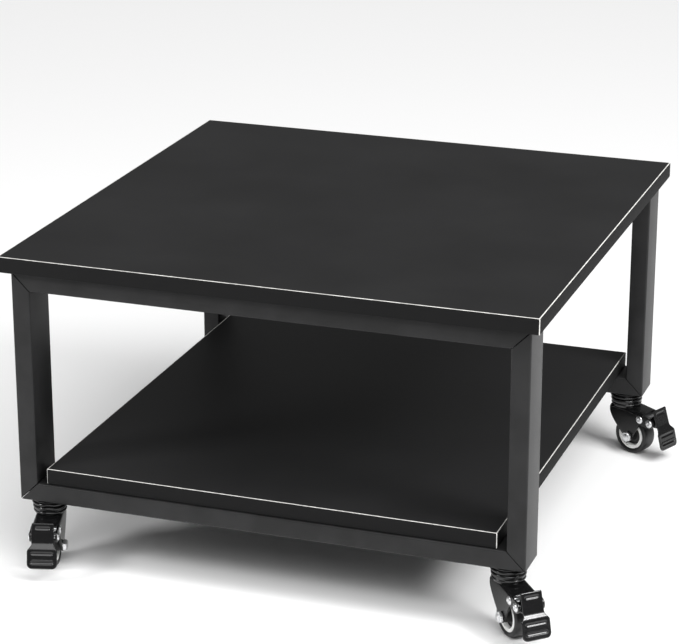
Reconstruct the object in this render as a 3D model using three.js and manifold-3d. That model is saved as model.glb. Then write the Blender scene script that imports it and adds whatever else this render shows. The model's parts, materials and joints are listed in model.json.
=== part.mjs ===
// Mobile printer stand: two laminate boards on two welded tube frames, rolling on four braked swivel
// casters. Millimetres, +Z up. The origin is on the floor under the middle of the boards, and the
// front of the stand faces -Y.
import * as THREE from "three";
import { mergeVertices } from "three/addons/utils/BufferGeometryUtils.js";
import Module from "manifold-3d";

const wasm = await Module();
wasm.setup();

// Boards
const boardWidth = 508;
const boardDepth = 508;
const boardThick = 15;
const shelfThick = 15;
const overhangSide = 9; // how far the top board stands past the frames at each side
const overhangFront = 8; // the same at the front and at the back
const shelfSideGap = 9; // from the shelf's side to the legs
const shelfInset = 2; // how far the shelf's front and back edges sit inside the frames' outer faces

// Frames of rectangular tube, mitred and welded at the corners
const frameHeight = 225;
const tubeFace = 18; // width seen from the front
const tubeDepth = 40;
const tubeWall = 1.5;
const weldGap = 0.3;

// Screws that hold the boards to the frames
const screwRadius = 2.5;
const screwHeadRadius = 4.5;
const screwHeadHeight = 2.6;
const screwGrip = 10; // how deep a screw goes into its board
const screwSpread = 150; // from the middle of the stand to each screw

// Fits
const seat = 0.3; // gap between pieces that rest on each other
const holeFit = 0.4; // radial room round a screw, pin or bolt
const runFit = 0.35; // room between pieces that turn on each other
const overcut = 1; // how far a cut runs past the face it opens

// Casters
const wheelRadius = 20;
const frameClear = 26.5; // top of the tyre to the underside of the frame
const stemInset = 20.5; // caster's stem to the outer side of the frame
const headings = { front_left: -74, front_right: -47, back_left: 133.9, back_right: -24 };
const stemRadius = 4;
const stemChamfer = 1;
const raceRadius = 17;
const raceHeight = 7;
const raceChamfer = 1.2;
const domeRadius = 16.3;
const domeHeight = 8.65;
const domeShoulder = 1.8;
const domeFoot = 0.9; // taper where the dome runs into the top plate
const kingpinRadius = 4.6;
const kingpinHeadRadius = 7;
const kingpinHeadHeight = 2;

// Fork
const plateThick = 1.8;
const forkWidth = 26;
const noseReach = 11.5; // stem to the fork's leading edge
const noseDrop = 6; // height of the leading edge's straight top stretch
const noseBow = [1.5, 16]; // leading edge's control point, behind the nose and above the axle
const slopeStart = 8;
const slopeDrop = 2.6;
const bossEnd = 0.4; // where the boss runs into the trailing edge, in radians before the level
const axleBoss = 5.6; // radius of the side plate round the axle
const earRadius = 5.5; // radius of the side plate's ear round the pedal's pin
const earNeck = 10; // from the slope's end to the pin, along the trail
const earTurn = Math.PI / 3; // where the slope meets the ear

// Wheel
const tyreRoom = 2.2; // tyre's side to a side plate
const tyreDepth = 5; // tread to rim
const tyreShoulder = 2;
const rimStep = 1; // rim's side inside the tyre's side
const rimWall = 2.6;
const rimDraft = 0.8; // taper inside the rim
const hubDraft = 0.5; // taper outside the hub
const webWidth = 8;
const hubRadius = 5.6;
const axleTrail = 12.7; // how far the axle trails the stem
const axleRadius = 3;
const hexFlats = 10;
const nutHeight = 3.4;
const boltHeadHeight = 4;
const boltEnd = 1.2; // thread that stands past the nut

// Rivets and brake
const rivetRadius = 2;
const rivetHeadRadius = 4.2;
const rivetHeadHeight = 1.7;
const rivetPlace = [14.2, 2.2]; // strip's rivet, behind the axle and above the tyre's top
const pinPlace = [26.5, 0.6]; // pedal's pin, in the same way
const stripThick = 1.2;
const stripRoom = 1.2; // strip's side to the pedal's cheeks
const stripEye = 3.3;
const stripNeck = 2.6; // half the width of the strip's neck at the rivet
const stripNose = [9, 2.6]; // trail of the strip's free end and its droop
const stripLift = 2.6; // from the cam to the strip's upper face
const camRadius = 2;
const camReach = 4.5;
const pedalThick = 1.6;
const pedalRoom = 0.7; // pedal's side to a side plate
const paddleWidth = 28.4;
const paddleRound = 5;
const paddleChamfer = 3;
const pedalLine = [[3.6, 14.6], [9.6, -3.6], [13.4, -7.5], [18.5, -25.5]]; // outer face from the pin, top down
const cheekThick = 1.5;
const cheekInset = 0.4; // inside the pedal's outer face
const cheekStart = 0.3; // share of the upper face above the cheeks
const cheekLine = [[2, -4.2], [-2, -4.2], [-6, -1], [-6, 2], [-1, 4.2]]; // cheek's edge from the pin
const ribRadius = 0.9;
const ribInset = 3.9; // from the end of a rib to the pedal's side
const upperRib = 0.25; // share of the upper face above its rib
const paddleRibs = [0.22, 0.66]; // the same for the paddle's two

// Finishes
const laminate = { color: 0x2b2b2b, roughness: 0.5, metalness: 0 };
const frameCoat = { color: 0x2a2a2a, roughness: 0.45, metalness: 0.1 };
const casterBlack = { color: 0x101010, roughness: 0.2, metalness: 0.6 };
const zinc = { color: 0xd8d8d8, roughness: 0.25, metalness: 1 };
const tyreBlack = { color: 0x1c1c1c, roughness: 0.45, metalness: 0 };
const rimWhite = { color: 0xe4e4e2, roughness: 0.4, metalness: 0 };

// What follows from the sizes
const casterHeight = 2 * wheelRadius + frameClear;
const frameTop = casterHeight + frameHeight;
const frameWidth = boardWidth - 2 * overhangSide;
const tubeY = boardDepth / 2 - overhangFront - tubeDepth / 2; // middle of each frame's tubes
const stemX = frameWidth / 2 - stemInset;
const shelfWidth = frameWidth - 2 * tubeFace - 2 * shelfSideGap;
const shelfDepth = boardDepth - 2 * overhangFront - 2 * shelfInset;
const shelfBottom = casterHeight + tubeFace;
const raceBottom = casterHeight - seat - raceHeight;
const forkTop = raceBottom - runFit - domeHeight;
const plateSide = forkWidth / 2 - plateThick; // inner face of a side plate
const axleHeight = wheelRadius;
const stemLength = tubeFace - 2 * tubeWall;
const pedalWidth = 2 * (plateSide - pedalRoom);
const cheekWidth = pedalWidth - pedalThick; // across the outer faces of the pedal's cheeks
const stripWidth = cheekWidth - 2 * (cheekThick + stripRoom);
const tyreWidth = 2 * (plateSide - tyreRoom);
const rimWidth = tyreWidth - 2 * rimStep;
const rimRadius = wheelRadius - tyreDepth;
const brakeRivet = behindAxle(rivetPlace);
const pedalPin = behindAxle(pinPlace);
const slopeEnd = pedalPin[0] - earNeck;
const [pedalTop, pedalWaist, paddleTop, paddleEnd] = pedalLine.map(fromPin);
const forkFace = forkWidth / 2 + seat;
const round = 12; // sides of a small round piece
const cupSides = 20;
const rimSides = 20;
const wheelSides = 32;

const model = new THREE.Group();

// A place given behind the axle and above the tyre's top, as a trail and a height.
function behindAxle([trail, rise]) {
  return [axleTrail + trail, 2 * wheelRadius + rise];
}

// A place given from the pedal's pin, as a trail and a height.
function fromPin([trail, rise]) {
  return [pedalPin[0] + trail, pedalPin[1] + rise];
}

// A closed geometry as a solid that can be joined and cut.
function solid(geometry) {
  const bare = new THREE.BufferGeometry();
  bare.setAttribute("position", geometry.getAttribute("position").clone());
  if (geometry.index) bare.setIndex(geometry.index.clone());
  const merged = mergeVertices(bare, 1e-4);
  const triVerts = new Uint32Array(merged.index.array);
  const kept = [];
  for (let i = 0; i < triVerts.length; i += 3) {
    const [a, b, c] = triVerts.subarray(i, i + 3);
    if (a !== b && b !== c && c !== a) kept.push(a, b, c);
  }
  const vertProperties = new Float32Array(merged.getAttribute("position").array);
  const faces = new Uint32Array(kept);
  const made = new wasm.Manifold(new wasm.Mesh({ numProp: 3, vertProperties, triVerts: faces }));
  if (made.volume() > 0) return made;
  faces.reverse();
  return new wasm.Manifold(new wasm.Mesh({ numProp: 3, vertProperties, triVerts: faces }));
}

// A finished solid as a named mesh in a group.
function place(name, made, finish, group = model) {
  const mesh = made.getMesh();
  const geometry = new THREE.BufferGeometry();
  geometry.setAttribute("position", new THREE.BufferAttribute(mesh.vertProperties, 3));
  geometry.setIndex(new THREE.BufferAttribute(mesh.triVerts, 1));
  const flat = geometry.toNonIndexed();
  flat.computeVertexNormals();
  const node = new THREE.Mesh(flat, new THREE.MeshStandardMaterial(finish));
  node.name = name;
  group.add(node);
  return node;
}

function box(sizeX, sizeY, sizeZ, x = 0, y = 0, z = 0) {
  return solid(new THREE.BoxGeometry(sizeX, sizeY, sizeZ).translate(x, y, z));
}

// A turned solid on the Z axis from [radius, height] pairs; a ring's profile closes on itself.
function turned(profile, sides = round) {
  const points = profile.map(([radius, height]) => new THREE.Vector2(radius, height));
  return solid(new THREE.LatheGeometry(points, sides).rotateX(Math.PI / 2));
}

// A round rod along Z between two heights.
function rod(radius, low, high, sides = round) {
  return turned([[0, low], [radius, low], [radius, high], [0, high]], sides);
}

// A Z-axis solid turned onto the caster's side to side axis, at a trail and a height.
function crosswise(made, trail, height) {
  return made.rotate([-90, 0, 0]).translate([trail, 0, height]);
}

// An outline of trail and height, made as wide as asked across the caster.
function sideways(shape, width) {
  const options = { depth: width, bevelEnabled: false, curveSegments: 4 };
  const geometry = new THREE.ExtrudeGeometry(shape, options);
  return solid(geometry.rotateX(Math.PI / 2).translate(0, width / 2, 0));
}

function outline(points) {
  return new THREE.Shape(points.map(([x, y]) => new THREE.Vector2(x, y)));
}

function disc([x, y], radius) {
  const shape = new THREE.Shape();
  shape.absarc(x, y, radius, 0, 2 * Math.PI, false);
  return shape;
}

// Boards -------------------------------------------------------------------------------------

const screwPlaces = [-1, 1].flatMap((sideY) => [-1, 1].map((sideX) => [sideX, sideY]));

// A board with a blind hole above each frame screw.
function board(width, depth, thick, bottom) {
  let made = box(width, depth, thick, 0, 0, bottom + thick / 2);
  const hole = rod(screwRadius + holeFit, bottom - overcut, bottom + screwGrip + holeFit);
  for (const [sideX, sideY] of screwPlaces) {
    made = made.subtract(hole.translate([sideX * screwSpread, sideY * tubeY, 0]));
  }
  return made;
}

place("top_board", board(boardWidth, boardDepth, boardThick, frameTop + seat), laminate);
place("lower_shelf", board(shelfWidth, shelfDepth, shelfThick, shelfBottom + seat), laminate);

// Frames -------------------------------------------------------------------------------------

// A tube whose long face is at the bottom and whose ends are mitred at 45 degrees, centred on X.
function mitredTube(length) {
  const half = length / 2 - weldGap;
  const top = half - tubeFace;
  const shape = outline([[-half, 0], [half, 0], [top, tubeFace], [-top, tubeFace]]);
  const bore = box(length, tubeDepth - 2 * tubeWall, tubeFace - 2 * tubeWall, 0, 0, tubeFace / 2);
  return sideways(shape, tubeDepth).subtract(bore);
}

const rail = mitredTube(frameWidth);
const leg = mitredTube(frameHeight);
const screwHole = rod(screwRadius + holeFit, -overcut, tubeFace + overcut);
const stemHole = rod(stemRadius + holeFit, -overcut, tubeWall + overcut);

for (const [end, sideY] of [["front", -1], ["back", 1]]) {
  let bottomRail = rail;
  let topRail = rail.rotate([180, 0, 0]).translate([0, 0, tubeFace]);
  for (const sideX of [-1, 1]) {
    bottomRail = bottomRail.subtract(screwHole.translate([sideX * screwSpread, 0, 0]));
    bottomRail = bottomRail.subtract(stemHole.translate([sideX * stemX, 0, 0]));
    topRail = topRail.subtract(screwHole.translate([sideX * screwSpread, 0, 0]));
  }
  const middle = casterHeight + frameHeight / 2;
  const leftLeg = leg.rotate([0, 90, 0]).translate([-frameWidth / 2, 0, middle]);
  const rightLeg = leg.rotate([0, -90, 0]).translate([frameWidth / 2, 0, middle]);
  const y = sideY * tubeY;
  place(`${end}_bottom_rail`, bottomRail.translate([0, y, casterHeight]), frameCoat);
  place(`${end}_top_rail`, topRail.translate([0, y, frameTop - tubeFace]), frameCoat);
  place(`${end}_left_leg`, leftLeg.translate([0, y, 0]), frameCoat);
  place(`${end}_right_leg`, rightLeg.translate([0, y, 0]), frameCoat);
}

// Screws -------------------------------------------------------------------------------------

// A pan-head screw that goes up through a rail into the board on top of it.
function boardScrew() {
  const low = -seat - screwHeadHeight;
  const tip = tubeFace + seat + screwGrip;
  const profile = [
    [0, low],
    [screwHeadRadius - screwHeadHeight / 2, low],
    [screwHeadRadius, low + screwHeadHeight / 2],
    [screwHeadRadius, -seat],
    [screwRadius, -seat],
    [screwRadius, tip - screwRadius],
    [0, tip],
  ];
  return turned(profile);
}

const screw = boardScrew();
for (const [sideX, sideY] of screwPlaces) {
  const corner = `${sideY < 0 ? "front" : "back"}_${sideX < 0 ? "left" : "right"}`;
  const at = [sideX * screwSpread, sideY * tubeY];
  place(`board_screw_${corner}`, screw.translate([...at, frameTop - tubeFace]), zinc);
  place(`shelf_screw_${corner}`, screw.translate([...at, casterHeight]), zinc);
}

// Caster pieces, with the stem on the Z axis, the wheel trailing towards +X and the floor at 0 -----

// The upper race with its threaded stem above and its kingpin and peened head below.
function stem() {
  const under = forkTop - plateThick;
  const headTop = under - seat;
  return turned([
    [0, headTop - kingpinHeadHeight],
    [kingpinHeadRadius, headTop - kingpinHeadHeight],
    [kingpinHeadRadius, headTop],
    [kingpinRadius, headTop],
    [kingpinRadius, raceBottom],
    [raceRadius, raceBottom],
    [raceRadius, raceBottom + raceHeight - raceChamfer],
    [raceRadius - raceChamfer, raceBottom + raceHeight],
    [stemRadius, raceBottom + raceHeight],
    [stemRadius, casterHeight + stemLength - stemChamfer],
    [stemRadius - stemChamfer, casterHeight + stemLength],
    [0, casterHeight + stemLength],
  ], cupSides);
}

// The side plate's outline: convex leading edge, straight trailing edge, a boss and an ear.
function forkOutline() {
  const shape = new THREE.Shape();
  const slopeLow = forkTop - slopeDrop;
  shape.moveTo(-noseReach, forkTop);
  shape.lineTo(-noseReach, forkTop - noseDrop);
  const [bowX, bowZ] = noseBow;
  const [pinX, pinZ] = pedalPin;
  shape.quadraticCurveTo(bowX - noseReach, axleHeight + bowZ, axleTrail - axleBoss, axleHeight);
  shape.absarc(axleTrail, axleHeight, axleBoss, Math.PI, 2 * Math.PI - bossEnd, false);
  shape.lineTo(brakeRivet[0], brakeRivet[1] - earRadius);
  shape.lineTo(pinX, pinZ - earRadius);
  shape.absarc(pinX, pinZ, earRadius, -Math.PI / 2, earTurn, false);
  shape.lineTo(slopeEnd, slopeLow);
  shape.lineTo(slopeStart, forkTop);
  return shape;
}

// The room between the side plates, under the top plate and its slope and open behind them.
function forkRoom() {
  const under = forkTop - plateThick;
  const far = slopeEnd + wheelRadius;
  const high = forkTop + domeHeight;
  const points = [
    [-far, -wheelRadius],
    [far, -wheelRadius],
    [far, high],
    [slopeEnd, high],
    [slopeEnd, under - slopeDrop],
    [slopeStart, under],
    [-far, under],
  ];
  return sideways(outline(points), 2 * plateSide);
}

function fork() {
  const dome = turned([
    [0, forkTop - plateThick],
    [domeRadius - domeFoot, forkTop - plateThick],
    [domeRadius, forkTop],
    [domeRadius, forkTop + domeHeight - domeShoulder],
    [domeRadius - domeShoulder, forkTop + domeHeight],
    [0, forkTop + domeHeight],
  ], cupSides);
  const cross = (radius, at) => crosswise(rod(radius, -forkWidth, forkWidth), ...at);
  return sideways(forkOutline(), forkWidth)
    .subtract(forkRoom())
    .add(dome)
    .subtract(rod(kingpinRadius + holeFit, 0, casterHeight, cupSides))
    .subtract(cross(axleRadius + holeFit, [axleTrail, axleHeight]))
    .subtract(cross(rivetRadius + holeFit, brakeRivet))
    .subtract(cross(rivetRadius + holeFit, pedalPin));
}

// A hexagon with its axis on Z, by its width across flats.
function hexagon(low, high) {
  return rod(hexFlats / Math.sqrt(3), low, high, 6);
}

function axleBolt() {
  const shank = rod(axleRadius, -forkFace - nutHeight - boltEnd, forkFace + overcut);
  return crosswise(hexagon(forkFace, forkFace + boltHeadHeight).add(shank), axleTrail, axleHeight);
}

function axleNut() {
  const thread = rod(axleRadius + holeFit, -forkWidth, 0);
  const nut = hexagon(-forkFace - nutHeight, -forkFace).subtract(thread);
  return crosswise(nut, axleTrail, axleHeight);
}

// A rivet with a low domed head at each end, on the Z axis.
function rivet() {
  const tall = forkFace + rivetHeadHeight;
  return turned([
    [0, -tall],
    [rivetHeadRadius - rivetHeadHeight, -tall],
    [rivetHeadRadius, -forkFace],
    [rivetRadius, -forkFace],
    [rivetRadius, forkFace],
    [rivetHeadRadius, forkFace],
    [rivetHeadRadius - rivetHeadHeight, tall],
    [0, tall],
  ]);
}

function tyre() {
  const half = tyreWidth / 2;
  const inner = rimRadius + seat;
  return crosswise(turned([
    [inner, -rimWidth / 2],
    [wheelRadius - tyreShoulder, -half],
    [wheelRadius, -half / 2],
    [wheelRadius, half / 2],
    [wheelRadius - tyreShoulder, half],
    [inner, rimWidth / 2],
    [inner, -rimWidth / 2],
  ], wheelSides), axleTrail, axleHeight);
}

function rim() {
  const hubHalf = plateSide - runFit;
  const bore = axleRadius + runFit;
  const well = rimRadius - rimWall;
  return crosswise(turned([
    [bore, -hubHalf],
    [hubRadius, -hubHalf],
    [hubRadius + hubDraft, -webWidth / 2],
    [well - rimDraft, -webWidth / 2],
    [well, -rimWidth / 2],
    [rimRadius, -rimWidth / 2],
    [rimRadius, rimWidth / 2],
    [well, rimWidth / 2],
    [well - rimDraft, webWidth / 2],
    [hubRadius + hubDraft, webWidth / 2],
    [hubRadius, hubHalf],
    [bore, hubHalf],
    [bore, -hubHalf],
  ], rimSides), axleTrail, axleHeight);
}

// The brake strip: a leaf over the tyre, held by the rivet's eye, with its tail above the cam.
function brakeStrip() {
  const high = pedalPin[1] + camRadius + stripLift;
  const low = high - stripThick;
  const tail = pedalPin[0] - stripNeck;
  const [eyeX, eyeZ] = brakeRivet;
  const [noseX, droop] = stripNose;
  const leaf = outline([
    [noseX, high - droop],
    [eyeX - stripNeck, high],
    [tail, high],
    [tail, low],
    [eyeX + stripNeck, low],
    [eyeX + stripNeck, eyeZ],
    [eyeX - stripNeck, eyeZ],
    [eyeX - stripNeck, low],
    [noseX, low - droop],
  ]);
  return sideways(leaf, stripWidth)
    .add(sideways(disc(brakeRivet, stripEye), stripWidth))
    .subtract(crosswise(rod(rivetRadius + holeFit, -forkWidth, forkWidth), ...brakeRivet));
}

// The point a given distance in from a line between two points, at a share along it.
function offsetPoint([ax, az], [bx, bz], share, inward) {
  const length = Math.hypot(bx - ax, bz - az);
  const x = ax + (bx - ax) * share + ((bz - az) / length) * inward;
  const z = az + (bz - az) * share - ((bx - ax) / length) * inward;
  return [x, z];
}

// The brake pedal: a bent plate with two flanges that rock on the pin, and a cam under the strip.
function pedal() {
  const face = [pedalTop, pedalWaist, paddleTop, paddleEnd];
  const back = [
    offsetPoint(pedalTop, pedalWaist, 0, pedalThick),
    offsetPoint(pedalTop, pedalWaist, 1, pedalThick),
    offsetPoint(paddleTop, paddleEnd, 0, pedalThick),
    offsetPoint(paddleTop, paddleEnd, 1, pedalThick),
  ];
  const upper = sideways(outline([face[0], face[1], face[2], back[2], back[1], back[0]]), pedalWidth);
  const slant = Math.atan2(paddleTop[0] - paddleEnd[0], paddleTop[1] - paddleEnd[1]);
  const paddleLength = Math.hypot(paddleTop[0] - paddleEnd[0], paddleTop[1] - paddleEnd[1]);
  const half = paddleWidth / 2;
  const shape = new THREE.Shape();
  shape.moveTo(-pedalWidth / 2, paddleLength);
  shape.lineTo(-half, paddleLength - paddleChamfer);
  shape.lineTo(-half, paddleRound);
  shape.absarc(-half + paddleRound, paddleRound, paddleRound, Math.PI, 1.5 * Math.PI, false);
  shape.absarc(half - paddleRound, paddleRound, paddleRound, 1.5 * Math.PI, 2 * Math.PI, false);
  shape.lineTo(half, paddleLength - paddleChamfer);
  shape.lineTo(pedalWidth / 2, paddleLength);
  const blade = new THREE.ExtrudeGeometry(shape, {
    depth: pedalThick,
    bevelEnabled: false,
    curveSegments: 3,
  });
  blade.translate(0, 0, -pedalThick);
  blade.rotateX(Math.PI / 2).rotateZ(Math.PI / 2).rotateY(slant);
  blade.translate(paddleEnd[0], 0, paddleEnd[1]);
  const [pinX, pinZ] = pedalPin;
  const cheek = outline([
    offsetPoint(pedalTop, pedalWaist, cheekStart, cheekInset),
    offsetPoint(pedalTop, pedalWaist, 1, cheekInset),
    ...cheekLine.map(fromPin),
  ]);
  const flanges = sideways(cheek, cheekWidth).subtract(sideways(cheek, cheekWidth - 2 * cheekThick));
  const camHalf = (cheekWidth - cheekThick) / 2;
  const cam = crosswise(rod(camRadius, -camHalf, camHalf), pinX - camReach, pinZ);
  let made = upper.add(solid(blade)).add(flanges).add(cam);
  const rib = (start, end, share, width) => {
    const long = width / 2 - ribInset;
    return crosswise(rod(ribRadius, -long, long, 6), ...offsetPoint(start, end, share, 0));
  };
  made = made.add(rib(pedalTop, pedalWaist, upperRib, pedalWidth));
  for (const share of paddleRibs) made = made.add(rib(paddleTop, paddleEnd, share, paddleWidth));
  return made.subtract(crosswise(rod(rivetRadius + holeFit, -forkWidth, forkWidth), pinX, pinZ));
}

const casterParts = [
  ["stem", stem(), casterBlack],
  ["fork", fork(), casterBlack],
  ["axle_bolt", axleBolt(), zinc],
  ["axle_nut", axleNut(), zinc],
  ["brake_strip", brakeStrip(), zinc],
  ["brake_rivet", crosswise(rivet(), ...brakeRivet), zinc],
  ["tyre", tyre(), tyreBlack],
  ["rim", rim(), rimWhite],
  ["pedal", pedal(), casterBlack],
  ["pedal_pin", crosswise(rivet(), ...pedalPin), zinc],
];

for (const [corner, heading] of Object.entries(headings)) {
  const caster = new THREE.Group();
  const sideX = corner.endsWith("left") ? -1 : 1;
  const sideY = corner.startsWith("front") ? -1 : 1;
  caster.position.set(sideX * stemX, sideY * tubeY, 0);
  caster.rotation.z = THREE.MathUtils.degToRad(heading);
  model.add(caster);
  for (const [name, made, finish] of casterParts) {
    place(`${corner}_${name}`, made, finish, caster);
  }
}

export default model;
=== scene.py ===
# Mobile printer stand: boards, welded tube frames and four braked casters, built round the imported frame.
# Sizes in the dictionaries are in mm and degrees; places and lights are in metres.
import json
import math

import bmesh
import bpy
import numpy as np
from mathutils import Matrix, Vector


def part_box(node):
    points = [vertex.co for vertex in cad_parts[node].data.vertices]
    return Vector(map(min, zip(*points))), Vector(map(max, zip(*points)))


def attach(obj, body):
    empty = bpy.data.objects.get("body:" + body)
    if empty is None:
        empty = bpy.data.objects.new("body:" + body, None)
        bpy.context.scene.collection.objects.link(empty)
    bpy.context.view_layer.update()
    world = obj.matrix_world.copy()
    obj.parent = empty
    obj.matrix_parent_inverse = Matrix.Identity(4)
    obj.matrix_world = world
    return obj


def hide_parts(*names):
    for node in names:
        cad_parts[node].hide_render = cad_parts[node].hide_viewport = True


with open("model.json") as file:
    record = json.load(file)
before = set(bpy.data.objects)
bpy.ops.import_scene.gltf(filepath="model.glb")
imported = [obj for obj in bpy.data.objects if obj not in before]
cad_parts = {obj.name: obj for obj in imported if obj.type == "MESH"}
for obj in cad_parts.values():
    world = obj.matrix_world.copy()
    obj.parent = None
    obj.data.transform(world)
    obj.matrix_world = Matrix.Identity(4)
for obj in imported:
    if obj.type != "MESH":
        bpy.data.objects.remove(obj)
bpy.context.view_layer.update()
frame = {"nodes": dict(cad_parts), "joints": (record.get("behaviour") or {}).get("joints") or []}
joints = {joint["name"]: joint for joint in frame["joints"]}
mm = 0.001
print("frame loaded:", len(frame["nodes"]), "nodes")

# camera and light

cameraSetup = {
    "place": (0.7607, -2.1975, 1.0146),
    "aim": (-0.3136, 0.8887, -0.3345),
    "lens": 133.75,  # on a 36 mm sensor
}
lightSetup = {  # name: place, aimed at, size across and up, watts
    "high softbox": ((1.7, -0.36, 1.95), (0.2, -0.1, 0.1), (0.8, 0.8), 26),
    "right lamp": ((1.14, -0.52, 1.0), (0.22, -0.1, 0.05), (0.3, 0.3), 6),
    "left lamp": ((-1.05, -0.95, 0.9), (-0.22, -0.2, 0.05), (0.3, 0.3), 8),
}
sunSetup = {"from": (0.3, -0.45, 0.84), "strength": 2.5, "angle": 60.0}
groundSetup = {
    "half": 14.0,
    "colour": (0.94, 0.94, 0.94),
    "roughness": 0.9,
    "world": (1.0, 1.0, 1.0),
    "worldStrength": 0.2,
}


def makeCamera(setup):
    data = bpy.data.cameras.new("camera")
    data.lens = setup["lens"]
    camera = bpy.data.objects.new("camera", data)
    camera.location = setup["place"]
    camera.rotation_mode = "QUATERNION"
    camera.rotation_quaternion = Vector(setup["aim"]).to_track_quat("-Z", "Y")
    bpy.context.scene.collection.objects.link(camera)
    bpy.context.scene.camera = camera


def makeLights(setup):
    for name, (place, target, size, watts) in setup.items():
        data = bpy.data.lights.new(name, "AREA")
        data.shape = "RECTANGLE"
        data.size, data.size_y = size
        data.energy = watts
        lamp = bpy.data.objects.new(name, data)
        lamp.location = place
        lamp.rotation_mode = "QUATERNION"
        lamp.rotation_quaternion = (Vector(target) - Vector(place)).to_track_quat("-Z", "Y")
        bpy.context.scene.collection.objects.link(lamp)


def makeSun(setup):
    data = bpy.data.lights.new("sky glow", "SUN")
    data.energy, data.angle = setup["strength"], math.radians(setup["angle"])
    lamp = bpy.data.objects.new("sky glow", data)
    lamp.rotation_mode = "QUATERNION"
    lamp.rotation_quaternion = Vector(setup["from"]).to_track_quat("Z", "Y")
    bpy.context.scene.collection.objects.link(lamp)


def makeGround(setup):
    half = setup["half"]
    mesh = bpy.data.meshes.new("floor")
    corners = [(-half, -half, 0), (half, -half, 0), (half, half, 0), (-half, half, 0)]
    mesh.from_pydata(corners, [], [(0, 1, 2, 3)])
    floor = bpy.data.objects.new("floor", mesh)
    bpy.context.scene.collection.objects.link(floor)
    material = bpy.data.materials.new("floor paint")
    material.use_nodes = True
    shader = material.node_tree.nodes["Principled BSDF"]
    shader.inputs["Base Color"].default_value = (*setup["colour"], 1)
    shader.inputs["Roughness"].default_value = setup["roughness"]
    mesh.materials.append(material)
    world = bpy.data.worlds.new("studio")
    world.use_nodes = True
    backdrop = world.node_tree.nodes["Background"]
    backdrop.inputs["Color"].default_value = (*setup["world"], 1)
    backdrop.inputs["Strength"].default_value = setup["worldStrength"]
    bpy.context.scene.world = world


makeCamera(cameraSetup)
makeLights(lightSetup)
makeSun(sunSetup)
makeGround(groundSetup)
bpy.context.scene.view_settings.view_transform = "Standard"
print("camera and lights set")

# shader expressions


class Wire:
    # one output socket; the operators add Math nodes to the material it belongs to
    def __init__(self, paint, socket):
        self.paint, self.socket = paint, socket

    def maths(self, operation, *values):
        node = self.paint.tree.nodes.new("ShaderNodeMath")
        node.operation = operation
        for place, value in enumerate(values):
            self.paint.join(value, node.inputs[place])
        return Wire(self.paint, node.outputs[0])

    def __add__(self, other):
        return self.maths("ADD", self, other)

    def __radd__(self, other):
        return self.maths("ADD", other, self)

    def __mul__(self, other):
        return self.maths("MULTIPLY", self, other)

    def __rmul__(self, other):
        return self.maths("MULTIPLY", other, self)

    def over(self, low, high):
        # 0 below low and 1 above high, straight in between
        values = {"Value": self, "From Min": low, "From Max": high}
        return self.paint.node("MapRange", {"clamp": True}, values)


class Paint:
    # one material and its Principled shader
    def __init__(self, name, fixed):
        self.material = bpy.data.materials.new(name)
        self.material.use_nodes = True
        self.tree = self.material.node_tree
        self.shader = self.tree.nodes["Principled BSDF"]
        for socket, value in fixed.items():
            self.shader.inputs[socket].default_value = (*value, 1) if isinstance(value, tuple) else value

    def join(self, value, socket):
        if isinstance(value, Wire):
            self.tree.links.new(value.socket, socket)
        elif isinstance(value, tuple) and len(value) == 3 and len(socket.default_value) == 4:
            socket.default_value = (*value, 1)
        else:
            socket.default_value = value

    def node(self, kind, settings=None, values=None, output=0):
        made = self.tree.nodes.new("ShaderNode" + kind)
        for key, value in (settings or {}).items():
            setattr(made, key, value)
        for key, value in (values or {}).items():
            self.join(value, made.inputs[key])
        return Wire(self, made.outputs[output])

    def place(self):
        return self.node("TexCoord", output="Object")

    def noise(self, scale, detail=2.0, rough=0.5, vector=None):
        values = {"Vector": vector or self.place(), "Scale": scale, "Detail": detail, "Roughness": rough}
        return self.node("TexNoise", None, values, "Fac")

    def stretched(self, scale):
        return self.node("Mapping", None, {"Vector": self.place(), "Scale": scale})

    def attribute(self, name):
        return self.node("Attribute", {"attribute_name": name}, output="Fac")

    def blend(self, share, low, high):
        made = self.tree.nodes.new("ShaderNodeMix")
        made.data_type = "RGBA"
        self.join(share, made.inputs["Factor"])
        colours = [socket for socket in made.inputs if socket.type == "RGBA"]
        self.join(low, colours[0])
        self.join(high, colours[1])
        return Wire(self, [socket for socket in made.outputs if socket.type == "RGBA"][0])

    def finish(self, colour=None, rough=None, height=None, depth=0.0):
        if colour is not None:
            self.join(colour, self.shader.inputs["Base Color"])
        if rough is not None:
            self.join(rough, self.shader.inputs["Roughness"])
        if height is not None:
            bump = {"Height": height, "Distance": depth, "Strength": 1.0}
            self.join(self.node("Bump", None, bump), self.shader.inputs["Normal"])
        return self.material


# finishes


def laminate(name):
    # satin black foil: a fine pore embossing along X, faint clouding, and a painted highlight along the cut
    # edges
    look = {
        "dark": (0.009, 0.009, 0.0093),
        "light": (0.018, 0.018, 0.0185),
        "band": (0.004, 0.004, 0.0042),  # the board's upright faces
        # painted highlight: the pale colour laid along the board's cut edges
        "cut": (0.80, 0.79, 0.76),
    }
    paint = Paint(name, {"IOR": 1.5, "Specular IOR Level": 0.22})
    pores = paint.noise(900, 3, 0.6, paint.stretched((0.12, 1, 1)))
    cloud = paint.noise(9, 3)
    grit = paint.noise(2600, 2)
    base = paint.blend(cloud.over(0.3, 0.7) * 0.6 + pores * 0.4, look["dark"], look["light"])
    band = paint.attribute("band")
    # painted highlight along the marked edges, a little broken up by noise
    cut = paint.attribute("cut").over(0.45, 0.55) * (0.7 + 0.3 * paint.noise(160, 3).over(0.38, 0.6))
    colour = paint.blend(cut, paint.blend(band, base, look["band"]), look["cut"])
    rough = 0.40 + 0.10 * cloud + 0.08 * pores + 0.3 * band
    return paint.finish(colour, rough, pores * 0.6 + grit * 0.4, 0.00006)


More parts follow.
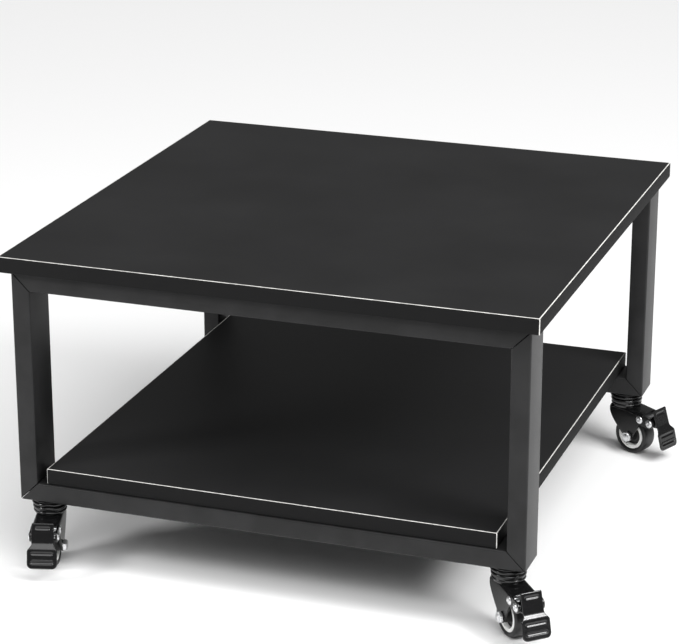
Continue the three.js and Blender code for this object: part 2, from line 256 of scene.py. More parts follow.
def powderCoat(name):
    # satin black powder coat: fine orange peel and a little mottling in its gloss
    look = {"dark": (0.011, 0.011, 0.0112), "light": (0.018, 0.018, 0.0185)}
    paint = Paint(name, {"IOR": 1.5, "Specular IOR Level": 0.25})
    peel = paint.noise(1100, 2, 0.5)
    cloud = paint.noise(35, 4)
    colour = paint.blend(cloud.over(0.35, 0.65), look["dark"], look["light"])
    return paint.finish(colour, 0.34 + 0.12 * cloud + 0.05 * peel, peel, 0.00008)


def glossBlack(name):
    # gloss black electro-coat on pressed steel: wet look, slight ripple, dust-fine speckle
    look = {"dark": (0.003, 0.003, 0.0032), "light": (0.008, 0.008, 0.0085)}
    paint = Paint(name, {"IOR": 1.5, "Specular IOR Level": 0.5})
    ripple = paint.noise(420, 2)
    speck = paint.noise(2400, 2).over(0.62, 0.75)
    colour = paint.blend(ripple * 0.5 + speck * 0.4, look["dark"], look["light"])
    return paint.finish(colour, 0.13 + 0.08 * ripple + 0.15 * speck, ripple, 0.00004)


def brightZinc(name):
    # bright plated steel: brushed streaks and slightly cloudy gloss
    look = {"dark": (0.60, 0.61, 0.62), "light": (0.86, 0.86, 0.87)}
    paint = Paint(name, {"Metallic": 1.0})
    cloud = paint.noise(260, 3)
    brushed = paint.noise(1800, 2, 0.5, paint.stretched((1, 1, 0.15)))
    colour = paint.blend(cloud, look["dark"], look["light"])
    return paint.finish(colour, 0.18 + 0.14 * cloud + 0.08 * brushed, brushed, 0.00002)


def tyreSkin(name):
    # dense black polyurethane: semi-gloss, finely scuffed
    look = {"dark": (0.006, 0.006, 0.006), "light": (0.016, 0.016, 0.0165)}
    paint = Paint(name, {"IOR": 1.48})
    scuff = paint.noise(520, 4, 0.65)
    cloud = paint.noise(120, 2)
    colour = paint.blend(scuff.over(0.45, 0.75), look["dark"], look["light"])
    return paint.finish(colour, 0.28 + 0.22 * scuff + 0.06 * cloud, scuff, 0.00006)


def rimPlastic(name):
    # off-white moulded plastic, faintly mottled
    look = {"dark": (0.80, 0.80, 0.785), "light": (0.90, 0.90, 0.885)}
    paint = Paint(name, {"IOR": 1.46})
    cloud = paint.noise(180, 3)
    colour = paint.blend(cloud, look["dark"], look["light"])
    return paint.finish(colour, 0.32 + 0.12 * cloud, paint.noise(900, 2), 0.00004)


def hubPlastic(name):
    # black moulded hub, matt from the mould
    look = {"dark": (0.008, 0.008, 0.008), "light": (0.02, 0.02, 0.02)}
    paint = Paint(name, {"IOR": 1.46})
    grain = paint.noise(1400, 3)
    colour = paint.blend(grain.over(0.4, 0.7), look["dark"], look["light"])
    return paint.finish(colour, 0.42 + 0.12 * grain, grain, 0.00005)


finishes = {
    "board_laminate": laminate("black laminate"),
    "frame_coat": powderCoat("frame powder coat"),
    "caster_black": glossBlack("caster gloss black"),
    "bright_zinc": brightZinc("bright zinc"),
    "tyre_black": tyreSkin("tyre polyurethane"),
    "rim_white": rimPlastic("rim plastic"),
}
hubFinish = hubPlastic("hub plastic")
print("finishes made:", len(finishes) + 1)

# mesh helpers


def gridFaces(rows, cols, wrapped):
    # quads of a rows by cols grid of points; when wrapped, each row's end joins its start
    r, c = np.meshgrid(np.arange(rows - 1), np.arange(cols if wrapped else cols - 1), indexing="ij")
    here, beside = r * cols + c, r * cols + (c + 1) % cols
    return np.stack([here, beside, beside + cols, here + cols], -1).reshape(-1, 4)


def surface(points, wrapped=False, capped=False):
    # a grid of points (rows, cols, 3) as (points, faces); capped closes its first and last rows
    rows, cols = points.shape[:2]
    faces = gridFaces(rows, cols, wrapped).tolist()
    if capped:
        faces.append(list(range(cols)))
        faces.append(list(range((rows - 1) * cols, rows * cols))[::-1])
    return points.reshape(-1, 3), faces


def joined(*shapes):
    # several (points, faces) as one
    points, faces, start = [], [], 0
    for shapePoints, shapeFaces in shapes:
        points.append(shapePoints)
        faces += [[start + i for i in face] for face in shapeFaces]
        start += len(shapePoints)
    return np.concatenate(points), faces


meshSetup = {
    "merge": 2e-6,  # points nearer than this are one, in metres
    "sliver": 1e-7,
    "edgeAngle": 40.0,  # only edges sharper than this are rounded
    "edgeSteps": 2,
}


def makePiece(name, shape, look, smooth=32, thick=0.0, bevel=0.0, marks=None):
    # shape in metres as an object at the origin; a sheet gets its wall inwards, then its edges are rounded
    points, faces = shape
    mesh = bpy.data.meshes.new(name)
    mesh.from_pydata(points.tolist(), [], faces)
    for label, values in (marks or {}).items():
        mesh.attributes.new(label, "FLOAT", "POINT").data.foreach_set("value", values.astype(np.float32))
    shell = bmesh.new()
    shell.from_mesh(mesh)
    bmesh.ops.remove_doubles(shell, verts=shell.verts, dist=meshSetup["merge"])
    bmesh.ops.dissolve_degenerate(shell, edges=shell.edges, dist=meshSetup["sliver"])
    bmesh.ops.recalc_face_normals(shell, faces=shell.faces)
    shell.to_mesh(mesh)
    shell.free()
    piece = bpy.data.objects.new(name, mesh)
    bpy.context.scene.collection.objects.link(piece)
    if thick:
        wall = piece.modifiers.new("wall", "SOLIDIFY")
        wall.thickness, wall.offset, wall.use_even_offset = thick * mm, -1, True
    if bevel:
        edge = piece.modifiers.new("edge", "BEVEL")
        edge.width, edge.segments, edge.limit_method = bevel * mm, meshSetup["edgeSteps"], "ANGLE"
        edge.angle_limit = math.radians(meshSetup["edgeAngle"])
        edge.use_clamp_overlap = True
    if thick or bevel:
        graph = bpy.context.evaluated_depsgraph_get()
        done = bpy.data.meshes.new_from_object(piece.evaluated_get(graph))
        piece.modifiers.clear()
        piece.data = done
        mesh = done
    mesh.shade_smooth()
    mesh.set_sharp_from_angle(angle=math.radians(smooth))
    mesh.materials.clear()
    mesh.materials.append(look)
    return piece


def roundCorners(halfX, halfY, radius, steps):
    # a rectangle's outline with quarter-circle corners, as (n, 2), anticlockwise
    angles = np.linspace(0, math.pi / 2, steps + 1)
    corners = []
    for quarter, (signX, signY) in enumerate(((1, 1), (-1, 1), (-1, -1), (1, -1))):
        turn = angles + quarter * math.pi / 2
        x = signX * (halfX - radius) + radius * np.cos(turn)
        y = signY * (halfY - radius) + radius * np.sin(turn)
        corners.append(np.stack([x, y], 1))
    return np.concatenate(corners)


# boards

boardShape = {
    "corner": 1.2,  # vertical corners, mm
    "cornerSteps": 6,
    "cornerLine": (2, 3, 4),  # the points of each corner that carry the painted highlight line
    "cornerLeast": 0.15,
    "edge": 0.9,  # rounding of the top and bottom edges, mm
    "edgeSteps": 6,
    "underInset": 3.0,  # first ring of the underside, in from its edge
    "highlightWidth": 0.55,  # painted highlight line along the cut edge, mm
    "highlightShare": 0.3,  # how much of it lies on the top face
    "highlightEnd": 0.2,
    "bandRows": range(4, 10),  # rings on the upright faces
}


def boardPiece(node, look):
    # the outline is carried up the board's thickness; its inset follows a quarter circle at each edge
    b = boardShape
    low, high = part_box(node)
    half = (high - low) / 2
    centre = (high + low) / 2
    edge, corner, line, under, highlightEnd = (
        b[key] * mm for key in ("edge", "corner", "highlightWidth", "underInset", "highlightEnd")
    )
    turn = np.linspace(0, math.pi / 2, b["edgeSteps"])
    rise = edge * (1 - np.cos(turn))
    inset = edge * (1 - np.sin(turn))
    topInset = edge + line * b["highlightShare"]
    heights = [low.z + rise[0]] + (low.z + rise).tolist()
    insets = [inset[0] + under] + inset.tolist()
    heights += (high.z - rise[::-1]).tolist() + [high.z, high.z]
    insets += inset[::-1].tolist() + [topInset, topInset + highlightEnd]
    rows, marks, bands = [], [], []
    top = len(heights) - 1
    for index, (height, back) in enumerate(zip(heights, insets)):
        radius = max(corner - back, b["cornerLeast"] * mm)
        ring = roundCorners(half.x - back, half.y - back, radius, b["cornerSteps"])
        rows.append(np.column_stack([ring + [centre.x, centre.y], np.full(len(ring), height)]))
        # the painted highlight: the middle points of each vertical corner and the rings round the top edge
        # are marked
        onLine = np.isin(np.arange(len(ring)) % (b["cornerSteps"] + 1), b["cornerLine"]) & (0 < index < top)
        marks.append(np.where(onLine | (top - 4 <= index < top), 1.0, 0.0))
        bands.append(np.full(len(ring), 1.0 if index in b["bandRows"] else 0.0))
    shape = surface(np.stack(rows), wrapped=True, capped=True)
    attributes = {"cut": np.concatenate(marks), "band": np.concatenate(bands)}
    piece = makePiece(node + "_board", shape, look, smooth=50, marks=attributes)
    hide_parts(node)
    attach(piece, "stand")


for node in ("top_board", "lower_shelf"):
    boardPiece(node, finishes["board_laminate"])
print("boards made")

# frames of mitred tube

tubeShape = {
    "radius": 1.7,  # the tube's own rounded corners, mm
    "cornerSteps": 5,
    "groove": 0.45,  # how far the mitred end is eased back along the weld, mm
}


def tubePiece(node, outward):
    # a rounded rectangle carried along the tube; a point's reach shortens by its depth from the outer face
    low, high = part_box(node)
    lengthAxis = 2 if outward[0] else 0
    crossAxis = 2 - lengthAxis
    low, high = np.array(low), np.array(high)
    face = high[crossAxis] - low[crossAxis]
    half = (high[1] - low[1]) / 2
    reach = (high[lengthAxis] - low[lengthAxis]) / 2
    sign = outward[0] or outward[1]
    radius, groove = (tubeShape[key] * mm for key in ("radius", "groove"))
    rows = []
    for side, back, inset in ((-1, 0, groove), (-1, groove, 0), (1, groove, 0), (1, 0, groove)):
        ring = roundCorners(half - inset, face / 2 - inset, radius, tubeShape["cornerSteps"])
        depth = face / 2 - ring[:, 1]  # from the outer face
        points = np.zeros((len(ring), 3))
        points[:, 1] = ring[:, 0] + (high[1] + low[1]) / 2
        points[:, crossAxis] = (high[crossAxis] + low[crossAxis]) / 2 + sign * ring[:, 1]
        points[:, lengthAxis] = (high[lengthAxis] + low[lengthAxis]) / 2 + side * (reach - back - depth)
        rows.append(points)
    shape = surface(np.stack(rows), wrapped=True, capped=True)
    piece = makePiece(node + "_tube", shape, finishes["frame_coat"], smooth=40)
    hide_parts(node)
    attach(piece, "stand")


for end in ("front", "back"):
    tubePiece(f"{end}_bottom_rail", (0, -1))
    tubePiece(f"{end}_top_rail", (0, 1))
    tubePiece(f"{end}_left_leg", (-1, 0))
    tubePiece(f"{end}_right_leg", (1, 0))
print("frames made")

# turned shapes


def turnedShape(profile, sides=72, flats=0, hexAcross=0.0):
    # a profile of (radius, height) spun about Z; with flats, no point stands outside a hexagon
    profile = np.array(profile, float)
    angles = np.linspace(0, 2 * math.pi, sides, endpoint=False)
    radius = np.repeat(profile[:, :1], sides, 1)
    if flats:
        sector = (angles + math.pi / flats) % (2 * math.pi / flats) - math.pi / flats
        limit = hexAcross / 2 / np.cos(sector)
        radius = np.minimum(radius, limit[None, :])
    x, y = radius * np.cos(angles), radius * np.sin(angles)
    z = np.repeat(profile[:, 1:], sides, 1)
    return surface(np.stack([x, y, z], -1), wrapped=True)


def arc(centre, radius, start, end, steps=6):
    # points on a circle between two angles in degrees, as (radius, height) pairs
    turn = np.radians(np.linspace(start, end, steps + 1))
    return [(centre[0] + radius * math.cos(t), centre[1] + radius * math.sin(t)) for t in turn]


screwShape = {
    "shank": 2.3,
    "head": 4.4,
    "headHeight": 2.5,
    "headRound": 1.6,
    "drive": 2.2,  # the socket's radius
    "driveDepth": 1.4,
    "driveEase": (0.2, 0.15),  # its rim, out and down
    "point": 2.0,
    "clear": 0.1,  # left under the top of the hole
    "sides": 36,
}


def screwPiece(node):
    # a profile spun about the screw's axis: socket, round head under the rail, shank into the board, point
    low, high = (np.array(corner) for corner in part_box(node))
    centre = (low + high) / 2
    s = screwShape
    easeOut, easeDown = s["driveEase"]
    tip = (high[2] - low[2]) / mm - s["clear"]
    profile = [(0, s["driveDepth"]), (s["drive"], s["driveDepth"])]
    profile += [(s["drive"], easeDown), (s["drive"] + easeOut, 0)]
    profile += arc((s["head"] - s["headRound"], s["headRound"]), s["headRound"], -90, 0)
    profile += [(s["head"], s["headHeight"]), (s["shank"], s["headHeight"])]
    profile += [(s["shank"], tip - s["point"]), (0, tip)]
    points, faces = turnedShape(profile, s["sides"])
    points = points * mm + [centre[0], centre[1], low[2]]
    piece = makePiece(node + "_screw", (points, faces), finishes["bright_zinc"], smooth=35)
    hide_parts(node)
    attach(piece, "stand")


corners = ("front_left", "front_right", "back_left", "back_right")
for corner in corners:
    screwPiece(f"board_screw_{corner}")
    screwPiece(f"shelf_screw_{corner}")
print("screws made")

# casters: every shape is worked out in mm in the caster's own axes, trail, side and height, then placed

casterShape = {
    "height": 66.5,
    "axle": (12.7, 20.0),
    "rivet": (26.9, 42.2),
    "pin": (39.2, 40.6),
}


def casterPlace(corner):
    # the stem's foot and the trailing and sideways directions, from the caster's own joints
    stem = np.array(joints[f"{corner}_swivel_turn"]["pos_m"], float)
    axle = np.array(joints[f"{corner}_wheel_spin"]["pos_m"], float)
    trail = axle - stem
    trail[2] = 0
    trail /= np.linalg.norm(trail)
    side = np.cross([0, 0, 1], trail)
    return np.array([stem[0], stem[1], 0]), trail, side


def placed(shape, corner):
    # trail, side and height in mm become metres in the frame, by one weighted sum of the three directions
    points, faces = shape
    foot, trail, side = casterPlace(corner)
    p = points * mm
    return foot + p[:, :1] * trail + p[:, 1:2] * side + p[:, 2:] * np.array([0, 0, 1.0]), faces


def crosswise(shape, at):
    # a shape spun about Z laid along the side axis, its centre at a trail and a height
    points, faces = shape
    return np.stack([points[:, 0] + at[0], points[:, 2], points[:, 1] + at[1]], 1), faces


def mirroredProfile(half):
    # a profile's upper half, then the same points at minus their heights, back to its start
    return half + [(radius, -height) for radius, height in half[::-1]] + [half[0]]


forkSize = {
    "top": 50.2,
    "sheet": (1.8, 0.35),  # thickness and edge rounding
    "halfWidth": 13.0,
    "nose": 11.5,
    "noseDrop": 6.0,
    "noseBow": (1.5, 16.0),  # control point of the leading edge, back from the nose and up from the axle
    "slopeStart": 8.0,
    "slopeEase": 2.0,
    "slopeEnd": 29.2,
    "slopeDrop": 2.6,
    "boss": 5.6,
    "bossEnd": 0.4,  # the boss's arc stops this much short of half a turn
    "ear": 5.5,
    "earBack": 1.5,
    "earTurn": 60.0,
    "bend": 3.2,  # outer radius where the top plate turns down into a side plate
}

raceSize = {
    "railGap": 0.35,
    "kingpin": 4.5,
    "pinHead": ((5.2, 4.0), (6.8, 3.2), (6.8, 2.2)),  # radius, and depth under the fork's top
    "face": 14.4,
    "faceDrop": 6.85,
    "roll": (15.2, 5.15, 1.75),  # radius of its centre, drop of its centre, its own radius
    "waist": ((15.3, 3.1), (15.2, 2.6), (15.8, 2.45)),
    "bead": (16.2, 1.75, 0.7),
    "cap": ((15.6, 0.9), (15.2, 0.3), (14.8, 0), (4.2, 0)),
    "root": 3.55,
    "crest": 3.95,
    "pitch": 1.0,
    "turns": 14,
    "sides": 84,
}


def raceShape():
    # a profile spun about the stem: kingpin and its head, rolled race, upper bead, cap, the stem's thread
    r = raceSize
    top = casterShape["height"] - r["railGap"]
    rollX, rollDrop, rollRadius = r["roll"]
    beadX, beadDrop, beadRadius = r["bead"]
    head = [(radius, forkSize["top"] - depth) for radius, depth in r["pinHead"]]
    profile = [(0, head[0][1])] + head + [(r["kingpin"], head[-1][1]), (r["kingpin"], top - r["faceDrop"])]
    profile += [(r["face"], top - r["faceDrop"])] + arc((rollX, top - rollDrop), rollRadius, -75, 70, 8)
    profile += [(radius, top - drop) for radius, drop in r["waist"]]
    profile += arc((beadX, top - beadDrop), beadRadius, -60, 60, 4)
    profile += [(radius, top - drop) for radius, drop in r["cap"]]
    for turn in range(r["turns"]):
        foot = top + turn * r["pitch"]
        profile += [(r["root"], foot + 0.25), (r["crest"], foot + 0.62)]
    end = top + r["turns"] * r["pitch"] + 0.6
    profile += [(3.4, end), (0, end)]
    return turnedShape(profile, r["sides"])


domeSize = {
    "bore": 5.1,
    "height": 8.6,
    "shoulder": 13.6,
    "roll": (14.1, 2.2, 2.15),  # radius of its centre, drop of its centre, its own radius
    "waist": ((15.35, 4.4), (15.1, 5.2)),
    "bead": (14.5, 6.3, 1.25),
    "foot": ((14.9, 0.9), (14.4, -0.5), (13.4, -1.2), (5.1, -1.2)),  # radius, and height over the fork
    "sides": 84,
}


def domeShape():
    # a profile spun about the kingpin: a pressed dome, its wide roll, and a smaller bead over the fork
    d = domeSize
    top = forkSize["top"] + d["height"]
    rollX, rollDrop, rollRadius = d["roll"]
    beadX, beadDrop, beadRadius = d["bead"]
    bore = (d["bore"], top - 0.1)
    profile = [bore, (d["shoulder"], top)] + arc((rollX, top - rollDrop), rollRadius, 85, -45, 10)
    profile += [(radius, top - drop) for radius, drop in d["waist"]]
    profile += arc((beadX, top - beadDrop), beadRadius, 60, -55, 7)
    profile += [(radius, forkSize["top"] + height) for radius, height in d["foot"]] + [bore]
    return turnedShape(profile, d["sides"])


def forkLow(trail):
    # the side plate's lower edge: convex leading edge, round boss, straight trailing edge, then the ear
    f = forkSize
    ax, az = casterShape["axle"]
    px, pz = casterShape["pin"]
    rx, rz = casterShape["rivet"]
    bowBack, bowUp = f["noseBow"]
    t = np.linspace(0, 1, 80)
    start, end = (-f["nose"], f["top"] - f["noseDrop"]), (ax - f["boss"], az)
    control = (bowBack - f["nose"], az + bowUp)
    curveX = (1 - t) ** 2 * start[0] + 2 * t * (1 - t) * control[0] + t**2 * end[0]
    curveZ = (1 - t) ** 2 * start[1] + 2 * t * (1 - t) * control[1] + t**2 * end[1]
    turn = np.linspace(math.pi, 2 * math.pi - f["bossEnd"], 40)[1:]
    bossX, bossZ = ax + f["boss"] * np.cos(turn), az + f["boss"] * np.sin(turn)
    earTurn = np.linspace(-math.pi / 2, 0, 20)
    earX, earZ = px + f["ear"] * np.cos(earTurn), pz + f["ear"] * np.sin(earTurn)
    lineX, lineZ = [rx, px - f["earBack"]], [rz - f["ear"], pz - f["ear"]]
    allX = np.concatenate([curveX, bossX, lineX, earX])
    allZ = np.concatenate([curveZ, bossZ, lineZ, earZ])
    return np.interp(trail, allX, allZ)


def forkHigh(trail):
    # the side plate's upper edge: the top plate, its slope, then down round the ear
    f = forkSize
    px, pz = casterShape["pin"]
    turn = np.linspace(math.radians(f["earTurn"]), 0, 20)
    earX, earZ = px + f["ear"] * np.cos(turn), pz + f["ear"] * np.sin(turn)
    start, ease = f["slopeStart"], f["slopeEase"]
    allX = np.concatenate([[-f["nose"], start - ease, start + ease, f["slopeEnd"]], earX])
    fall = f["slopeDrop"] / (f["slopeEnd"] - start)
    allZ = np.concatenate([[f["top"], f["top"], f["top"] - ease * fall, f["top"] - f["slopeDrop"]], earZ])
    return np.interp(trail, allX, allZ)


def easedStations(start, end, count):
    # stations crowded towards both ends, where the outline is steep: half of one minus a cosine
    return start + (end - start) * (1 - np.cos(np.linspace(0, math.pi, count))) / 2


def forkShape():
    # at each trail station the sheet runs up one side plate, over the top plate and down the other
    f = forkSize
    half, bend, end = f["halfWidth"], f["bend"], f["slopeEnd"]
    stations = np.unique(np.concatenate([easedStations(-f["nose"], 10, 60), np.linspace(10, end, 40)]))
    low, high = forkLow(stations), forkHigh(stations)
    up = np.linspace(0, 1, 9)
    turn = np.linspace(0, math.pi / 2, 7)
    rows = []
    for trail, bottom, top in zip(stations, low, high):
        z = bottom + (top - bend - bottom) * up
        sideY = np.full(len(z), -half)
        cornerY = -half + bend * (1 - np.cos(turn[1:]))
        cornerZ = top - bend + bend * np.sin(turn[1:])
        overY = np.linspace(cornerY[-1], -cornerY[-1], 5)[1:-1]
        y = np.concatenate([sideY, cornerY, overY, -cornerY[::-1], -sideY[::-1]])
        height = np.concatenate([z, cornerZ, np.full(len(overY), top), cornerZ[::-1], z[::-1]])
        rows.append(np.stack([np.full(len(y), trail), y, height], 1))
    main = surface(np.stack(rows))
    ears = []
    tail = easedStations(end, casterShape["pin"][0] + f["ear"], 34)
    tail[-1] -= 1e-3  # so that the ear's last station has some height
    ceiling = np.minimum(forkHigh(tail), high[-1] - bend + 1.5 * (tail - end))
    lowTail = forkLow(tail)
    for side in (-1, 1):
        z = lowTail[:, None] + (ceiling - lowTail)[:, None] * up[None, :]
        x = np.repeat(tail[:, None], len(up), 1)
        ears.append(surface(np.stack([x, np.full_like(x, side * half), z], -1)))
    return joined(main, *ears)


boltSize = {
    "across": 10.0,  # of the nut and the head, between flats
    "ease": 0.5,
    "nut": (-16.7, -13.35, 0.75),  # its two faces and how far its corners are eased
    "bore": 2.6,
    "shank": 2.95,
    "seat": 13.4,
    "head": ((0, 3.8), (4.0, 3.8), (4.5, 3.6)),  # radius, and height over the seat
    "headDepth": 2.9,
    "root": 2.62,
    "pitch": 0.55,
    "turns": 7,
    "tip": ((2.5, -17.6), (0, -17.75)),
    "sides": 72,
    "shankSides": 48,
}


def nutShape():
    # a ring profile spun about its bore, held inside a hexagon, its corners eased by a cone at both faces
    b = boltSize
    low, high, ease = b["nut"]
    corner, face = b["across"] / math.sqrt(3), b["across"] / 2 - b["ease"]
    profile = [(b["bore"], low), (face, low), (corner, low + ease), (corner, high - ease)]
    profile += [(face, high), (b["bore"], high), (b["bore"], low)]
    return turnedShape(profile, b["sides"], flats=6, hexAcross=b["across"])


def boltShape():
    # two spun profiles: a hexagon head on one side, and a shank whose thread stands past the nut
    b = boltSize
    corner, seat = b["across"] / math.sqrt(3), b["seat"]
    head = [(radius, seat + height) for radius, height in b["head"]]
    head += [(corner, seat + b["headDepth"]), (corner, seat + 0.1), (b["shank"], seat), (0, seat)]
    shank = [(0, seat + 0.3), (b["shank"], seat + 0.3), (b["shank"], -seat - 0.2)]
    for turn in range(b["turns"]):
        start = -seat - 0.2 - turn * b["pitch"]
        shank += [(b["root"], start - 0.15), (b["shank"], start - 0.42)]
    shank += list(b["tip"])
    hexagon = turnedShape(head, b["sides"], flats=6, hexAcross=b["across"])
    return joined(hexagon, turnedShape(shank, b["shankSides"]))


rivetSize = {
    "dimple": ((0, 14.35), (0.9, 14.4), (1.5, 14.75)),  # radius, and distance from the fork's middle
    "dome": (1.5, 12.15, 2.62),
    "seat": 13.3,
    "rim": 4.1,
    "shank": 2.0,
    "sides": 48,
}


def rivetShape():
    # a spun profile, the same on both sides: peening dimple, low dome, seat on the fork, shank between
    r = rivetSize
    domeX, domeZ, domeRadius = r["dome"]
    head = list(r["dimple"]) + arc((domeX, domeZ), domeRadius, 85, 28, 7)
    head += [(r["rim"], r["seat"]), (r["shank"], r["seat"])]
    return turnedShape(head + [(radius, -height) for radius, height in head[::-1]], r["sides"])


wheelSize = {
    "tyreSide": ((15.3, 8.0), (16.2, 8.5), (17.2, 8.85)),  # radius, and distance from the wheel's middle
    "shoulder": (16.9, 5.9, 2.95),
    "tread": ((19.92, 3.6), (19.95, 0)),
    "rimFace": ((11.0, 3.4), (11.2, 5.2), (11.5, 7.3), (11.9, 7.85), (12.7, 7.95)),
    "rimStep": ((13.0, 7.45), (13.3, 7.95), (14.6, 7.95), (14.97, 7.6)),
    "hub": ((3.4, 10.8), (5.2, 10.8), (5.55, 10.4), (5.9, 5.0)),
    "web": ((6.6, 4.2), (8.4, 3.9), (8.7, 3.4), (9.5, 3.4), (9.8, 3.9), (10.9, 4.1)),
    "sides": 120,
    "hubSides": 96,
}


def tyreShape():
    # a ring profile spun about the axle: rounded tread and shoulders, the same on both sides
    w = wheelSize
    shoulderX, shoulderZ, shoulderRadius = w["shoulder"]
    half = list(w["tyreSide"]) + arc((shoulderX, shoulderZ), shoulderRadius, 72, 18, 7) + list(w["tread"])
    mirrored = [(radius, -height) for radius, height in half[-2::-1]]
    return turnedShape(half + mirrored + [half[0]], w["sides"])


def rimShape():
    # a ring profile spun about the axle: rolled lips and a step inside them, the same on both sides
    half = list(wheelSize["rimFace"] + wheelSize["rimStep"])
    return turnedShape(mirroredProfile(half), wheelSize["sides"])


def hubShape():
    # a ring profile spun about the axle: raised hub, dished web and a shallow ring groove, on both sides
    half = list(wheelSize["hub"] + wheelSize["web"])
    return turnedShape(mirroredProfile(half), wheelSize["hubSides"])


stripSize = {
    "line": ((9, 42.6), (15, 43.8), (24, 45.2), (36.5, 45.2)),  # trail and height of its upper face
    "half": 7.0,
    "sheet": (1.1, 0.2),  # thickness and edge rounding
    "eye": (2.5, 3.2),
    "eyeSides": 40,
}


def leafShape():
    # the spring leaf over the tyre: its line from nose to tail, carried straight across the fork
    lineX, lineZ = zip(*stripSize["line"])
    trail = np.linspace(lineX[0], lineX[-1], 24)
    across = np.linspace(-stripSize["half"], stripSize["half"], 9)
    x, y = np.meshgrid(trail, across, indexing="ij")
    return surface(np.stack([x, y, np.interp(x, lineX, lineZ)], -1))


def eyeShape():
    # the leaf's eye, a plain ring spun about the rivet
    half = stripSize["half"]
    bore, outer = stripSize["eye"]
    profile = [(bore, -half), (outer, -half), (outer, half), (bore, half), (bore, -half)]
    return turnedShape(profile, stripSize["eyeSides"])


pedalShape = {
    "top": (42.8, 55.2),
    "waist": (48.8, 37.0),
    "paddleTop": (52.6, 33.1),
    "paddleEnd": (57.7, 15.1),
    "upperHalf": 10.5,
    "paddleHalf": 14.2,
    "widen": 2.5,  # how far past the step the paddle reaches its full width
    "round": 5.0,
    "upperRound": 1.2,
    "bendReach": 2.0,
    "sheet": (1.5, 0.3),  # thickness and edge rounding
    "roll": 0.9,  # rounding of the blade's edges
    "slots": ((0.11, 6.8), (0.662, 10.2), (0.852, 10.2)),  # share of the pedal's length, half length
    "slotHalf": 1.35,
    "slotDepth": 0.8,
    "lip": (0.28, 1.5, 0.28),  # the raised lip round a slot: height, distance and spread, in slot halves
}


def pedalPath(count):
    # the pedal's outer line from its top edge to its end; each bend is rounded by a moving mean
    p = pedalShape
    knots = np.array([p["top"], p["waist"], p["paddleTop"], p["paddleEnd"]])
    steps = np.hypot(*np.diff(knots, axis=0).T)
    along = np.concatenate([[0], np.cumsum(steps)])
    s = np.linspace(0, along[-1], count)
    reach = p["bendReach"]
    window = np.clip(s[None, :] + np.linspace(-reach, reach, 9)[:, None], 0, along[-1])
    ends = np.clip(np.minimum(s, along[-1] - s) / reach, 0, 1)
    lines = []
    for knot in knots.T:
        straight = np.interp(s, along, knot)
        lines.append(straight + (np.mean(np.interp(window, along, knot), 0) - straight) * ends)
    return s, along, *lines


def roundedOff(distance, radius):
    # how far a quarter circle draws an outline in, at a distance from the end it rounds
    left = np.clip(radius - distance, 0, radius)
    return radius - np.sqrt(radius**2 - left**2)


def pedalHalf(s, along):
    # half width along the pedal: narrow above, widening over the step by 3t^2 - 2t^3, its ends rounded off
    p = pedalShape
    widen = np.clip((s - along[1]) / (along[2] + p["widen"] - along[1]), 0, 1)
    half = p["upperHalf"] + (p["paddleHalf"] - p["upperHalf"]) * widen * widen * (3 - 2 * widen)
    return half - roundedOff(along[-1] - s, p["round"]) - roundedOff(s, p["upperRound"])


def pedalBlade():
    # path carried across the width; each pressed slot pushes the sheet in by a soft-edged trough
    p = pedalShape
    count, cols = 150, 61
    s, along, x, z = pedalPath(count)
    half = pedalHalf(s, along)[:, None]
    side = half * np.linspace(-1, 1, cols)[None, :]
    dx, dz = np.gradient(x), np.gradient(z)
    size = np.hypot(dx, dz)
    lipHeight, lipPlace, lipSpread = p["lip"]
    depth = np.zeros((count, cols))
    for place, long in p["slots"]:
        gap = np.abs(s - place * along[-1])[:, None]
        past = np.clip(np.abs(side) - (long - p["slotHalf"]), 0, None)
        distance = np.hypot(gap, past) / p["slotHalf"]
        depth = np.maximum(depth, np.clip(1.35 - distance, 0, 1) ** 0.8)
        depth = depth - lipHeight * np.exp(-(((distance - lipPlace) / lipSpread) ** 2))
    roll = p["roll"]
    ends = np.minimum(s, along[-1] - s)[:, None]
    push = -p["slotDepth"] * depth - roundedOff(np.minimum(half - np.abs(side), ends), roll)
    px = x[:, None] - (dz / size)[:, None] * push
    pz = z[:, None] + (dx / size)[:, None] * push
    return surface(np.stack([px, side, pz], -1))


cheekSize = {
    "reach": (-5.6, 7.8),  # trail from the pin
    "low": ((-5.6, -0.2), (-4.6, -2), (-2, -4.2), (2, -4.2), (7.8, -3.6)),  # trail and height from the pin
    "high": ((-5.6, 1.2), (-4.6, 3), (-1, 4.3), (4, 9.6), (4.6, 9.4), (7.8, -2.2)),
    "inset": 0.8,  # in from the blade's upper edge
    "thick": 1.4,
    "edge": 0.25,
}


def cheekShape():
    # the pedal's two flanges: at each trail station a slim rectangle stands between a low and a high line
    c = cheekSize
    px, pz = casterShape["pin"]
    start, end = c["reach"]
    trail = easedStations(px + start, px + end, 30)
    lowLine, highLine = (pz + np.interp(trail - px, *zip(*c[line])) for line in ("low", "high"))
    z = np.stack([lowLine, highLine, highLine, lowLine], 1)
    x = np.repeat(trail[:, None], 4, 1)
    outer = pedalShape["upperHalf"] - c["inset"]
    inner = outer - c["thick"]
    shapes = []
    for side in (-1, 1):
        y = np.broadcast_to(side * np.array([outer, outer, inner, inner]), x.shape)
        shapes.append(surface(np.stack([x, y, z], -1), wrapped=True, capped=True))
    return joined(*shapes)


camSize = {"reach": 4.5, "radius": 1.95, "ease": (0.25, 0.3), "half": 9.2, "sides": 28}


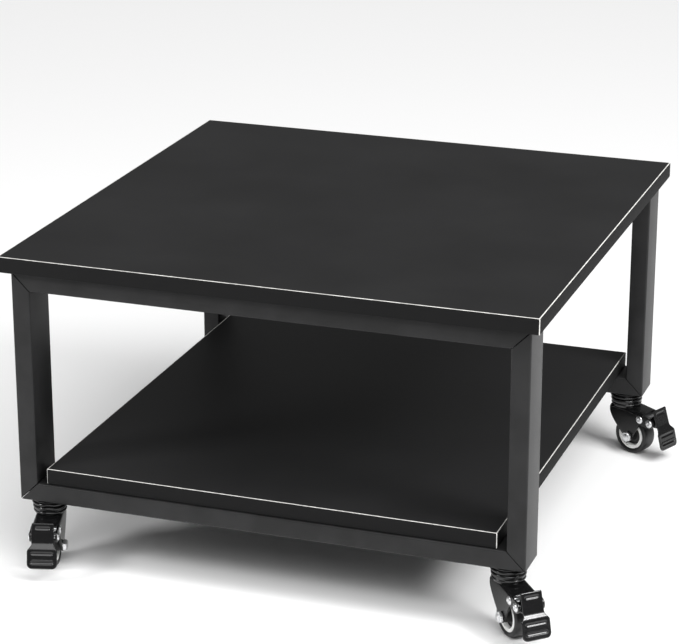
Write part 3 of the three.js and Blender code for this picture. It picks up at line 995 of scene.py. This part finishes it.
def camShape():
    # a bar between the flanges, spun about its own axis, with eased ends
    c = camSize
    easeIn, easeAlong = c["ease"]
    end, face = c["half"], c["radius"] - easeIn
    profile = [(0, -end), (face, -end), (c["radius"], easeAlong - end)]
    profile += [(c["radius"], end - easeAlong), (face, end), (0, end)]
    px, pz = casterShape["pin"]
    return crosswise(turnedShape(profile, c["sides"]), (px - c["reach"], pz))


axle, rivet, pin = (casterShape[key] for key in ("axle", "rivet", "pin"))
casterPieces = [  # piece, shape, CAD node, body, material slot, sheet thickness, edge rounding
    ("race", raceShape(), "stem", "stand", "caster_black", 0, 0),
    ("dome", domeShape(), "fork", "swivel", "caster_black", 0, 0),
    ("fork_plate", forkShape(), "fork", "swivel", "caster_black", *forkSize["sheet"]),
    ("bolt", crosswise(boltShape(), axle), "axle_bolt", "swivel", "bright_zinc", 0, 0),
    ("nut", crosswise(nutShape(), axle), "axle_nut", "swivel", "bright_zinc", 0, 0),
    ("strip_leaf", leafShape(), "brake_strip", "swivel", "bright_zinc", *stripSize["sheet"]),
    ("strip_eye", crosswise(eyeShape(), rivet), "brake_strip", "swivel", "bright_zinc", 0, 0),
    ("strip_rivet", crosswise(rivetShape(), rivet), "brake_rivet", "swivel", "bright_zinc", 0, 0),
    ("pin_rivet", crosswise(rivetShape(), pin), "pedal_pin", "swivel", "bright_zinc", 0, 0),
    ("tyre_ring", crosswise(tyreShape(), axle), "tyre", "wheel", "tyre_black", 0, 0),
    ("rim_ring", crosswise(rimShape(), axle), "rim", "wheel", "rim_white", 0, 0),
    ("hub_web", crosswise(hubShape(), axle), "rim", "wheel", "rim_white", 0, 0),
    ("pedal_blade", pedalBlade(), "pedal", "brake", "caster_black", *pedalShape["sheet"]),
    ("pedal_cheeks", cheekShape(), "pedal", "brake", "caster_black", 0, cheekSize["edge"]),
    ("pedal_cam", camShape(), "pedal", "brake", "caster_black", 0, 0),
]
print("caster shapes worked out:", len(casterPieces))


def buildCaster(corner):
    # every shape placed at the corner, riding on the stand or on the caster's own body
    for name, shape, node, body, slotName, thick, edge in casterPieces:
        look = hubFinish if name == "hub_web" else finishes[slotName]
        piece = makePiece(f"{corner}_{name}", placed(shape, corner), look, thick=thick, bevel=edge)
        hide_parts(f"{corner}_{node}")
        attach(piece, body if body == "stand" else f"{corner}_{body}")


for corner in corners:
    buildCaster(corner)
    print("caster made:", corner)
